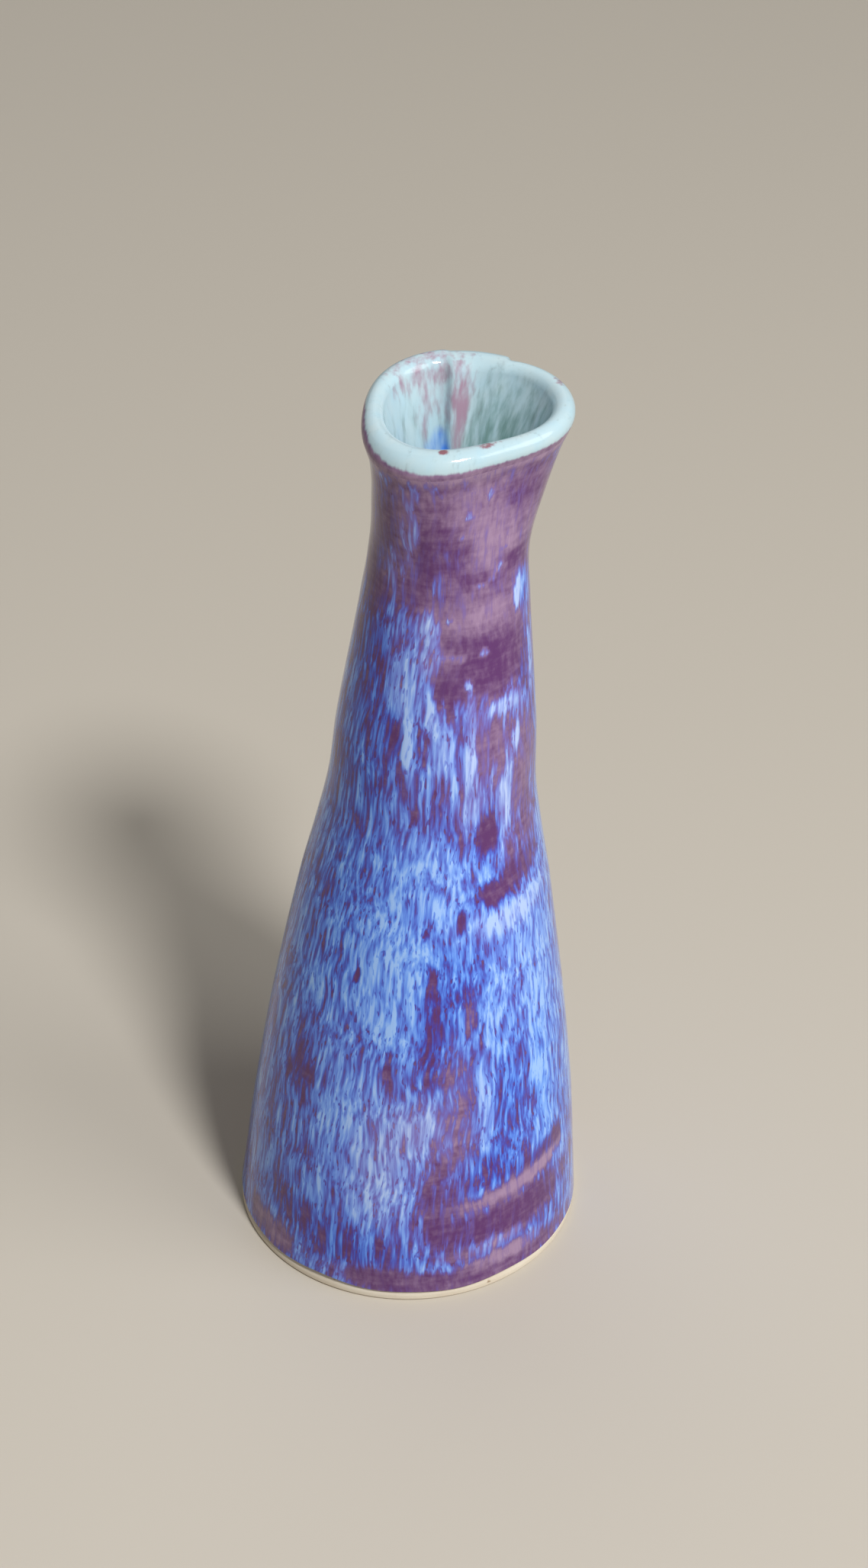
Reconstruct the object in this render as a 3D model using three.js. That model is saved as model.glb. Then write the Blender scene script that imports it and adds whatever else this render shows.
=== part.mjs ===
// Small hand-built bud vase: a clay slab rolled into a tapering tube with a lapped seam, closed by a floor
// slab, the inner corner sealed with a coil, glazed pale inside and over the lip and plum-blue outside.
// Millimetres, +Z up, origin at the centre of the foot on the table. Angles run from +X towards +Y;
// -Y is the front of the vase, and the lapped seam stands at its back right.
import * as THREE from "three";

// --- Driving dimensions ---
const SLAB_SECTION = 3.6; // wall from finished face to finished face, glaze on both sides included
const GLAZE = 0.4; // thickness of one fired coat
const CLEARANCE = 0.1; // air kept between pieces that meet face to face
const FLOOR_SLAB = 4.0; // floor disc thickness
const FOOT_ARRIS = 0.5; // small bevel wiped onto the lower edge of the floor disc
const BARE_FOOT = 0.9; // height of the unglazed line above the table
const LIP_HEIGHT = 117.9; // where the outer face turns over into the round lip
const LINER_OVERHANG = 0.4; // how far the pale liner glaze reaches down the outside of the lip
const COIL_RADIUS = 3.0; // hollow curve that the sealing coil is smoothed to
const SEGMENTS = 48; // facets round the vase

// Finished outer face, as [height, radius] stations from the foot to the flared lip.
const OUTER_STATIONS = [
  [0, 22.3], [12, 21.2], [33, 18.8], [52, 15.9], [60, 14.3], [68, 12.9],
  [77, 12.2], [95, 9.95], [103, 9.3], [110, 10.1], [115, 11.0], [LIP_HEIGHT, 11.9],
];

// The tube leans to the right: the axis moves by LEAN * t + BOW * t^2 at the fraction t of the height.
const LEAN = 4.2;
const BOW = 1.2;
const MOUTH_TILT_BACK = 2.4; // degrees, the back of the mouth stands higher than the front
const MOUTH_TILT_RIGHT = 0.9; // degrees, the right of the mouth stands higher than the left
const TILT_START = 84; // height where the mouth's tilt begins

// The flared mouth is pinched thinner and pressed out of round. Each face is moved out evenly, shifted
// sideways, and gets an oval and a three-lobed wave, in mm and degrees.
const FLARE_START = 100;
const OUTER_MOUTH = { out: 0, shift: 1.2, shiftAt: 66, oval: 0.75, ovalAt: 52, lobes: 0.8, lobesAt: 0 };
const INNER_MOUTH = { out: 0.65, shift: 1.5, shiftAt: 63, oval: 0.5, ovalAt: 35, lobes: 0.45, lobesAt: 3 };

// Lapped seam: the slab's outer edge shows outside at OUTER_EDGE, its tucked-in edge inside at INNER_EDGE.
const OUTER_EDGE = 60;
const INNER_EDGE = 96;
const STEP_WIDTH = 5; // degrees over which an edge is smeared
const STEP_RECOVERY = 17; // degrees over which the wall comes back to its round
const STEP_AT_LIP = 1.25; // step outside at the lip, where the seam is hardly smoothed
const STEP_ON_BODY = 0.35; // step outside lower down, where it is paddled nearly flush
const STEP_INSIDE = 0.9; // step inside, out of reach of the potter's tool
const SEAM_PADDLED_BELOW = 92;

// Slow unevenness left by the hands, the same on both faces.
const WOBBLE_TWO = 0.18;
const WOBBLE_THREE = 0.1;
const HAND_START = 6; // the tube stays round on the floor disc and is pressed freely above HAND_FULL
const HAND_FULL = 22;

const FACE_TO_CLAY = GLAZE + CLEARANCE;
const CAVITY_FLOOR = FLOOR_SLAB + FACE_TO_CLAY;
const WALL_BASE = FLOOR_SLAB + CLEARANCE;
const COIL_TOP = CAVITY_FLOOR + COIL_RADIUS;
const LINER_EDGE = LIP_HEIGHT - LINER_OVERHANG;
const GLAZE_EDGE = LINER_EDGE - CLEARANCE;
const ARC_STEPS = 5;

const radians = THREE.MathUtils.degToRad;
const smoothstep = THREE.MathUtils.smoothstep;
const TOP = OUTER_STATIONS.at(-1)[0];

/** Radius and slope of the outer face at a height: a cubic through the stations with averaged slopes. */
function outerFace(height) {
  const last = OUTER_STATIONS.length - 1;
  let i = OUTER_STATIONS.findIndex(([z]) => z > height) - 1;
  if (i < 0) i = last - 1;
  const slope = (k) => {
    const [z0, r0] = OUTER_STATIONS[Math.max(k - 1, 0)];
    const [z1, r1] = OUTER_STATIONS[Math.min(k + 1, last)];
    return (r1 - r0) / (z1 - z0);
  };
  const [za, ra] = OUTER_STATIONS[i];
  const [zb, rb] = OUTER_STATIONS[i + 1];
  const span = zb - za;
  const t = (height - za) / span;
  const bend = { a: slope(i) * span, b: slope(i + 1) * span };
  const radius =
    (2 * t ** 3 - 3 * t ** 2 + 1) * ra + (t ** 3 - 2 * t ** 2 + t) * bend.a +
    (3 * t ** 2 - 2 * t ** 3) * rb + (t ** 3 - t ** 2) * bend.b;
  const rise =
    ((6 * t ** 2 - 6 * t) * (ra - rb) + (3 * t ** 2 - 4 * t + 1) * bend.a + (3 * t ** 2 - 2 * t) * bend.b) / span;
  return { radius, rise };
}

/** Point of the wall's section at a height on the outer face and a depth below that face. */
function wallPoint(height, depth) {
  const { radius, rise } = outerFace(height);
  const length = Math.hypot(1, rise);
  return {
    r: radius - depth / length,
    z: height + (depth * rise) / length,
    inside: depth > SLAB_SECTION / 2 ? 1 : 0,
  };
}

/** The round lip at a depth below the finished face, as points from the outer face over to the inner one. */
function lipArc(depth, steps = ARC_STEPS) {
  const middle = wallPoint(LIP_HEIGHT, SLAB_SECTION / 2);
  const start = -Math.atan(outerFace(LIP_HEIGHT).rise);
  const radius = SLAB_SECTION / 2 - depth;
  return Array.from({ length: steps + 1 }, (_, k) => {
    const angle = start + (Math.PI * k) / steps;
    return { r: middle.r + radius * Math.cos(angle), z: middle.z + radius * Math.sin(angle), inside: k / steps };
  });
}

/** Heights at which every face is divided, so that facets of neighbouring pieces run side by side. */
const ROWS = [
  BARE_FOOT, WALL_BASE, COIL_TOP, 14, 23, 33, 43, 52, 60, 68, 77, 86, 95, 103, 108, 112, 115, GLAZE_EDGE,
];

/** Outer face at a depth, from the lowest height wanted up to the edge of the outer glaze. */
function outerRows(depth, from) {
  return ROWS.filter((z) => z >= from).map((z) => wallPoint(z, depth));
}

/** Inner face at a depth below that face, from just under the lip down to the coil. */
function innerRows(depth) {
  return ROWS.filter((z) => z >= COIL_TOP)
    .reverse()
    .map((z) => wallPoint(z, SLAB_SECTION - depth));
}

/** Bottom of the cavity at a depth below the finished face: the coil's hollow curve, then the floor to the axis. */
function cavityFloor(depth) {
  const wall = wallPoint(COIL_TOP, SLAB_SECTION);
  const centre = { r: wall.r - COIL_RADIUS, z: CAVITY_FLOOR + COIL_RADIUS };
  const curve = Array.from({ length: ARC_STEPS }, (_, k) => {
    const angle = (-Math.PI / 2) * ((k + 1) / ARC_STEPS);
    const radius = COIL_RADIUS + depth;
    return { r: centre.r + radius * Math.cos(angle), z: centre.z + radius * Math.sin(angle), inside: 1 };
  });
  return [...curve, { r: 0, z: CAVITY_FLOOR - depth, inside: 1 }];
}

/** Soft step of an edge of the slab: 0 past the edge, 1 just before it. */
function beforeEdge(degrees, edge) {
  return 1 - smoothstep(degrees, edge - STEP_WIDTH / 2, edge + STEP_WIDTH / 2);
}

/** How the lapped seam draws a face inwards at an angle. */
function seamStep(degrees, z, inside) {
  // The seam is described on the turn of angles that runs from 180 degrees before it to 180 after it.
  const angle = THREE.MathUtils.euclideanModulo(degrees - OUTER_EDGE + 180, 360) + OUTER_EDGE - 180;
  const recovery = Math.exp(Math.min(angle - OUTER_EDGE, 0) / STEP_RECOVERY);
  const outside = STEP_ON_BODY + (STEP_AT_LIP - STEP_ON_BODY) * smoothstep(z, SEAM_PADDLED_BELOW, LIP_HEIGHT);
  return THREE.MathUtils.lerp(
    outside * recovery * beforeEdge(angle, OUTER_EDGE),
    STEP_INSIDE * recovery * beforeEdge(angle, INNER_EDGE),
    inside,
  );
}

/** How far one face of the mouth stands out from its true round at an angle. */
function mouthWave({ out, shift, shiftAt, oval, ovalAt, lobes, lobesAt }, degrees) {
  return (
    out +
    shift * Math.cos(radians(degrees - shiftAt)) +
    oval * Math.cos(2 * radians(degrees - ovalAt)) +
    lobes * Math.cos(3 * radians(degrees - lobesAt))
  );
}

/** Where the hands leave a point of the true round section: out of round, stepped at the seam, leaning. */
function handFormed({ r, z, inside }, degrees) {
  const held = smoothstep(z, HAND_START, HAND_FULL);
  const flare = smoothstep(z, FLARE_START, LIP_HEIGHT);
  const mouth = THREE.MathUtils.lerp(mouthWave(OUTER_MOUTH, degrees), mouthWave(INNER_MOUTH, degrees), inside);
  const wobble =
    WOBBLE_TWO * Math.cos(radians(2 * degrees - 3 * z)) + WOBBLE_THREE * Math.cos(radians(3 * degrees + 4 * z));
  const radius = r + held * (wobble + flare * mouth - seamStep(degrees, z, inside));
  const x = radius * Math.cos(radians(degrees));
  const y = radius * Math.sin(radians(degrees));
  const t = z / TOP;
  const tilt = smoothstep(z, TILT_START, TOP);
  const raise = tilt * (Math.tan(radians(MOUTH_TILT_BACK)) * y + Math.tan(radians(MOUTH_TILT_RIGHT)) * x);
  return [x + LEAN * t + BOW * t * t, y, z + raise];
}

/** A turned body whose section starts and ends on the axis or closes on itself, formed by hand. */
function formedBody(section) {
  const profile = section.map(({ r, z }) => new THREE.Vector2(r, z));
  const geometry = new THREE.LatheGeometry(profile, SEGMENTS);
  const position = geometry.getAttribute("position");
  for (let i = 0; i < position.count; i++) {
    const turn = Math.floor(i / section.length) % SEGMENTS;
    position.setXYZ(i, ...handFormed(section[i % section.length], (360 * turn) / SEGMENTS));
  }
  geometry.computeVertexNormals();
  return geometry;
}

const closed = (section) => [...section, section[0]];

/** The floor slab: a flat disc with a small arris round its lower edge. */
function floorSlab() {
  const edge = outerFace(0).radius - FACE_TO_CLAY;
  return formedBody([
    { r: 0, z: 0, inside: 0 },
    { r: edge - FOOT_ARRIS, z: 0, inside: 0 },
    { r: edge, z: FOOT_ARRIS, inside: 0 },
    { ...wallPoint(BARE_FOOT, FACE_TO_CLAY), z: BARE_FOOT },
    { r: wallPoint(FLOOR_SLAB, FACE_TO_CLAY).r, z: FLOOR_SLAB, inside: 0 },
    { r: 0, z: FLOOR_SLAB, inside: 0 },
  ]);
}

/** The rolled wall slab with its flared neck and round lip. */
function wallSlab() {
  const outer = outerRows(FACE_TO_CLAY, WALL_BASE);
  const inner = innerRows(FACE_TO_CLAY);
  const innerFoot = { r: wallPoint(WALL_BASE, SLAB_SECTION - FACE_TO_CLAY).r, z: WALL_BASE, inside: 1 };
  outer[0].z = WALL_BASE;
  return formedBody(closed([...outer, ...lipArc(FACE_TO_CLAY), ...inner, innerFoot]));
}

/** The coil of clay pressed into the corner between wall and floor. */
function sealingCoil() {
  const backed = SLAB_SECTION - FACE_TO_CLAY + CLEARANCE;
  const curve = cavityFloor(FACE_TO_CLAY).slice(0, -1);
  const corner = { r: wallPoint(WALL_BASE, backed).r, z: WALL_BASE, inside: 1 };
  const toe = { r: curve.at(-1).r, z: WALL_BASE, inside: 1 };
  return formedBody(closed([corner, wallPoint(COIL_TOP, backed), ...curve.slice(0, -1), toe]));
}

/** The plum and blue coat on the outside, ending above the bare foot line and under the lip. */
function outerGlaze() {
  const face = outerRows(0, BARE_FOOT);
  const back = outerRows(GLAZE, BARE_FOOT).reverse();
  return formedBody(closed([...face, ...back]));
}

/** The pale liner coat: from its edge outside, over the lip, down the throat and across the cavity floor. */
function linerGlaze() {
  const coat = (depth) => [
    wallPoint(LINER_EDGE, depth),
    ...lipArc(depth),
    ...innerRows(depth),
    ...cavityFloor(depth),
  ];
  return formedBody([...coat(GLAZE).reverse(), ...coat(0)]);
}

const stoneware = new THREE.MeshStandardMaterial({ color: 0xded6c6, roughness: 0.85, metalness: 0 });
const plumBlueGlaze = new THREE.MeshStandardMaterial({ color: 0x6f74c4, roughness: 0.12, metalness: 0 });
const paleLinerGlaze = new THREE.MeshStandardMaterial({ color: 0xc2dfe2, roughness: 0.1, metalness: 0 });

const vase = new THREE.Group();
for (const [name, geometry, material] of [
  ["floor_slab", floorSlab(), stoneware],
  ["wall_slab", wallSlab(), stoneware],
  ["sealing_coil", sealingCoil(), stoneware],
  ["outer_glaze", outerGlaze(), plumBlueGlaze],
  ["liner_glaze", linerGlaze(), paleLinerGlaze],
]) {
  const piece = new THREE.Mesh(geometry, material);
  piece.name = name;
  vase.add(piece);
}

export default vase;
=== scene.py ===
"""Bud vase: the fired pot, its two glazes and a plain studio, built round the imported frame.

A slab of white stoneware is rolled into a leaning, tapering tube with a lapped seam and a flared mouth.
Every surface here is a function of two parameters: the place along a section of the wall, and the angle
round it. Sections are worked out in millimetres and placed in metres. Angles run from +X towards +Y, and
-Y is the front.
"""
import logging
import math
from dataclasses import dataclass, field
from enum import Enum

import bpy
import numpy as np
from mathutils import Euler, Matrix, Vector


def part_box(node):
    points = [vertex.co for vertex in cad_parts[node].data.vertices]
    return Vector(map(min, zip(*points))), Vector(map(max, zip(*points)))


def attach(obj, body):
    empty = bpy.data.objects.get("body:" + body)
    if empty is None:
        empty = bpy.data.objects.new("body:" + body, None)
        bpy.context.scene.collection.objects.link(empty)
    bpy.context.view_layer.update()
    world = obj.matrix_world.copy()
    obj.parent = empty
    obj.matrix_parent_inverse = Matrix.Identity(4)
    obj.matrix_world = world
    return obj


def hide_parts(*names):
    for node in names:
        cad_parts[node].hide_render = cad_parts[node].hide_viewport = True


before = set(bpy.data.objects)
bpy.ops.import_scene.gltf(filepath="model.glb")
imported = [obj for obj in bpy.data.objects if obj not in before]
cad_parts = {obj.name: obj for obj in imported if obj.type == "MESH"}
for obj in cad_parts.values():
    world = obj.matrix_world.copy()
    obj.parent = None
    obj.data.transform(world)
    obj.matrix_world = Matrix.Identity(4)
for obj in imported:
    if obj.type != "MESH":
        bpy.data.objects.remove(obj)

MM = 0.001
BODY = "root"
EDGE = 0.03  # mm of a coat's edge that its rounded shading takes up
FLOW_RADIUS = 15.0  # mm, the usual radius that the glaze's patterns are drawn for
FLOW_FOLLOW = 0.9  # how far the patterns widen and narrow with the wall
RAGGED = 0.12  # waver of a stroke's edge, as a share of its width
BLEED = 2.2  # how much wider a stroke's second and third amounts fade than its first
WIDEST_FADE = 0.95
log = logging.getLogger("bud_vase")


class Slot(Enum):
    """The record's material slots."""

    CLAY = "bare_stoneware"
    OUTSIDE = "plum_blue_glaze"
    LINER = "pale_liner_glaze"


# --- Small helpers ------------------------------------------------------------------------------


def linear(hex_colour: str) -> tuple[float, float, float, float]:
    """Turns an sRGB hex colour into linear RGBA.

    Args:
        hex_colour: six hex digits, with or without a leading #.

    Returns:
        Linear red, green, blue and an alpha of 1.
    """
    digits = hex_colour.lstrip("#")
    channels = [int(digits[i : i + 2], 16) / 255.0 for i in (0, 2, 4)]
    return (*(c / 12.92 if c <= 0.04045 else ((c + 0.055) / 1.055) ** 2.4 for c in channels), 1.0)


def smoothstep(x: np.ndarray, low: float, high: float) -> np.ndarray:
    """Rises from 0 at low to 1 at high as 3t^2 - 2t^3."""
    t = np.clip((x - low) / (high - low), 0.0, 1.0)
    return t * t * (3.0 - 2.0 * t)


def turn_to(degrees: np.ndarray, centre: float) -> np.ndarray:
    """The signed angle from centre, from -180 to 180 degrees."""
    return np.mod(degrees - centre + 180.0, 360.0) - 180.0


def wire(
    tree: bpy.types.NodeTree, kind: str, output: int | str, inputs: dict, **settings
) -> bpy.types.NodeSocket:
    """Adds a node with its settings and links.

    Args:
        tree: the node tree that gets the node.
        kind: the node's type, such as ShaderNodeMath.
        output: name or index of the output socket that is wanted.
        inputs: socket name or index to a value, or to the socket that feeds it.
        settings: the node's own properties; stops is a colour ramp's list of (position, hex colour).

    Returns:
        The output socket.
    """
    node = tree.nodes.new(kind)
    for place, (position, colour) in enumerate(settings.pop("stops", [])):
        elements = node.color_ramp.elements
        stop = elements[place] if place < 2 else elements.new(position)
        stop.position = position
        stop.color = linear(colour)
    for name, value in settings.items():
        setattr(node, name, value)
    for key, value in inputs.items():
        if isinstance(value, bpy.types.NodeSocket):
            tree.links.new(value, node.inputs[key])
        else:
            node.inputs[key].default_value = value
    return node.outputs[output]


def blank_material(
    name: str, slot: Slot
) -> tuple[bpy.types.Material, bpy.types.ShaderNodeTree, bpy.types.Node]:
    """Makes a material with only a Principled shader and its output.

    Args:
        name: the finish's common name.
        slot: the record's slot that the finish belongs to.

    Returns:
        The material, its node tree and the shader node.
    """
    material = bpy.data.materials.new(name)
    material.use_nodes = True
    material["slot"] = slot.value
    tree = material.node_tree
    return material, tree, tree.nodes["Principled BSDF"]


# --- The shape that the hands left --------------------------------------------------------------


@dataclass(frozen=True)
class Section:
    """A line across the wall: radius, height in mm, and 0 on the outer face to 1 on the inner face."""

    r: np.ndarray
    z: np.ndarray
    inside: np.ndarray

    def then(self, *others: "Section") -> "Section":
        """This line followed by the others."""
        parts = (self, *others)
        return Section(*(np.concatenate([getattr(p, key) for p in parts]) for key in ("r", "z", "inside")))

    def back(self) -> "Section":
        """This line run the other way."""
        return Section(self.r[::-1], self.z[::-1], self.inside[::-1])


def points(r: list[float], z: list[float], inside: float) -> Section:
    """A line through a few points on one face."""
    return Section(np.array(r, float), np.array(z, float), np.full(len(r), inside))


@dataclass(frozen=True)
class HandForm:
    """The finished form of the tube, in millimetres and degrees."""

    # Height and radius of the finished outer face, foot to flared lip.
    stations: tuple[tuple[float, float], ...] = (
        (0, 22.3), (12, 21.2), (33, 18.8), (52, 15.9), (60, 14.3), (68, 12.9),
        (77, 12.2), (95, 9.95), (103, 9.3), (110, 10.1), (115, 11.0), (117.9, 11.9),
    )
    slab: float = 3.6
    glaze: float = 0.4
    clearance: float = 0.1
    floor: float = 4.0
    overhang: float = 0.4
    coil_radius: float = 3.0
    lean: float = 4.2
    bow: float = 1.2
    tilt_back: float = 2.4
    tilt_right: float = 0.9
    tilt_start: float = 84.0
    flare_start: float = 100.0
    # Even, sideways, oval and three-lobed moves of each face of the mouth: size in mm and direction.
    outer_mouth: tuple[tuple[float, float], ...] = ((0.0, 0.0), (1.2, 66.0), (0.75, 52.0), (0.8, 0.0))
    inner_mouth: tuple[tuple[float, float], ...] = ((0.65, 0.0), (1.5, 63.0), (0.5, 35.0), (0.45, 3.0))
    outer_edge: float = 60.0
    inner_edge: float = 96.0
    step_width: float = 5.0
    step_recovery: float = 17.0
    step_at_lip: float = 1.25
    step_on_body: float = 0.35
    step_inside: float = 0.9
    paddled_below: float = 92.0
    wobble_two: float = 0.18
    wobble_three: float = 0.1
    hand_start: float = 6.0
    hand_full: float = 22.0

    @property
    def top(self) -> float:
        """Height where the outer face turns over into the lip."""
        return self.stations[-1][0]

    @property
    def to_clay(self) -> float:
        """Depth of the clay under a finished face."""
        return self.glaze + self.clearance

    @property
    def cavity_floor(self) -> float:
        """Height of the glazed floor inside."""
        return self.floor + self.to_clay

    @property
    def liner_edge(self) -> float:
        """Height where the liner glaze ends outside, under the lip."""
        return self.top - self.overhang

    @property
    def coil_top(self) -> float:
        """Height where the wall inside runs into the coil's hollow curve."""
        return self.cavity_floor + self.coil_radius

    def outer_face(self, height: np.ndarray) -> tuple[np.ndarray, np.ndarray]:
        """A cubic through the stations, whose slope at each is that from its lower to its upper neighbour.

        Args:
            height: heights in mm.

        Returns:
            Radius, and its slope against height.
        """
        z, r = np.array(self.stations, float).T
        wide_z, wide_r = np.pad(z, 1, mode="edge"), np.pad(r, 1, mode="edge")
        slope = (wide_r[2:] - wide_r[:-2]) / (wide_z[2:] - wide_z[:-2])
        i = np.clip(np.searchsorted(z, height, side="right") - 1, 0, len(z) - 2)
        span = z[i + 1] - z[i]
        t = (height - z[i]) / span
        a, b = slope[i] * span, slope[i + 1] * span
        radius = (
            (2 * t**3 - 3 * t**2 + 1) * r[i] + (t**3 - 2 * t**2 + t) * a
            + (3 * t**2 - 2 * t**3) * r[i + 1] + (t**3 - t**2) * b
        )
        rise = (6 * t**2 - 6 * t) * (r[i] - r[i + 1]) + (3 * t**2 - 4 * t + 1) * a + (3 * t**2 - 2 * t) * b
        return radius, rise / span

    def wall(self, heights: np.ndarray, depth: float) -> Section:
        """The wall's face: each point of the outer face, set back square to it by the depth.

        Args:
            heights: heights on the outer face in mm.
            depth: how far below that face, in mm.

        Returns:
            The line up the wall.
        """
        heights = np.atleast_1d(np.asarray(heights, float))
        radius, rise = self.outer_face(heights)
        length = np.hypot(1.0, rise)
        inside = np.full(heights.shape, 1.0 if depth > self.slab / 2 else 0.0)
        return Section(radius - depth / length, heights + depth * rise / length, inside)

    def lip(self, depth: float, count: int) -> Section:
        """The round lip: a half circle from the outer face over to the inner one.

        Args:
            depth: how far below the finished face, in mm.
            count: steps over the lip.

        Returns:
            The line over the lip.
        """
        middle = self.wall(self.top, self.slab / 2)
        start = -math.atan(float(self.outer_face(np.array([self.top]))[1][0]))
        share = np.arange(count + 1) / count
        angle = start + math.pi * share
        radius = self.slab / 2 - depth
        return Section(middle.r + radius * np.cos(angle), middle.z + radius * np.sin(angle), share)

    def bottom(self, depth: float, count: int, rings: int) -> Section:
        """The cavity's bottom: the coil's hollow quarter circle, then straight over the floor to the axis.

        Args:
            depth: how far below the finished face, in mm.
            count: steps down the hollow.
            rings: steps over the floor.

        Returns:
            The line down the coil and in to the axis.
        """
        wall = self.wall(self.coil_top, self.slab)
        centre = wall.r[0] - self.coil_radius
        angle = -0.5 * math.pi * (np.arange(count) + 1) / count
        radius = self.coil_radius + depth
        over, up = radius * np.cos(angle), radius * np.sin(angle)
        curve = Section(centre + over, self.coil_top + up, np.ones(count))
        r = np.linspace(centre, 0.0, rings + 1)[1:]
        return curve.then(points(list(r), [self.cavity_floor - depth] * rings, 1.0))

    def seam_step(self, degrees: np.ndarray, z: np.ndarray, inside: np.ndarray) -> np.ndarray:
        """How far the lapped seam draws a face in: a step at the slab's edge that recovers round the wall.

        Args:
            degrees: angles round the vase.
            z: heights in mm.
            inside: 0 on the outer face to 1 on the inner face.

        Returns:
            The step in mm.
        """
        angle = turn_to(degrees, self.outer_edge) + self.outer_edge
        half = self.step_width / 2
        recovery = np.exp(np.minimum(angle - self.outer_edge, 0.0) / self.step_recovery)
        smeared = smoothstep(z, self.paddled_below, self.top)
        outside = self.step_on_body + (self.step_at_lip - self.step_on_body) * smeared
        outer = outside * (1.0 - smoothstep(angle, self.outer_edge - half, self.outer_edge + half))
        inner = self.step_inside * (1.0 - smoothstep(angle, self.inner_edge - half, self.inner_edge + half))
        return recovery * (outer + (inner - outer) * inside)

    def place(self, section: Section, columns: int, relief: np.ndarray | float = 0.0) -> np.ndarray:
        """Sweeps a section round the leaning axis, out of round and stepped at the seam.

        The radius gets two slow waves, two- and three-lobed waves at the mouth, and the seam's step. The
        axis moves sideways as lean * t + bow * t^2, and the mouth's plane is tilted.

        Args:
            section: the line across the wall.
            columns: points round the vase.
            relief: mm that each point stands proud of its face.

        Returns:
            Points in metres, shaped (section, columns, 3).
        """
        degrees = np.arange(columns)[None, :] * 360.0 / columns
        r, z, inside = (a[:, None] for a in (section.r, section.z, section.inside))

        def mouth(moves: tuple[tuple[float, float], ...]) -> np.ndarray:
            """One face's moves at each angle, the k-th a wave with k lobes."""
            return sum(size * np.cos(np.radians(k * (degrees - at))) for k, (size, at) in enumerate(moves))

        held = smoothstep(z, self.hand_start, self.hand_full)
        flare = smoothstep(z, self.flare_start, self.top)
        waves = mouth(self.outer_mouth) * (1 - inside) + mouth(self.inner_mouth) * inside
        wobble = self.wobble_two * np.cos(np.radians(2 * degrees - 3 * z))
        wobble = wobble + self.wobble_three * np.cos(np.radians(3 * degrees + 4 * z))
        radius = r + held * (wobble + flare * waves - self.seam_step(degrees, z, inside))
        radius = radius + relief * (1.0 - 2.0 * inside)
        x, y = radius * np.cos(np.radians(degrees)), radius * np.sin(np.radians(degrees))
        t = z / self.top
        tilt = smoothstep(z, self.tilt_start, self.top)
        back, right = (math.tan(math.radians(a)) for a in (self.tilt_back, self.tilt_right))
        raised = tilt * (back * y + right * x)
        return np.stack([x + self.lean * t + self.bow * t * t, y, z + raised], axis=-1) * MM


# --- Meshes -------------------------------------------------------------------------------------


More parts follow.
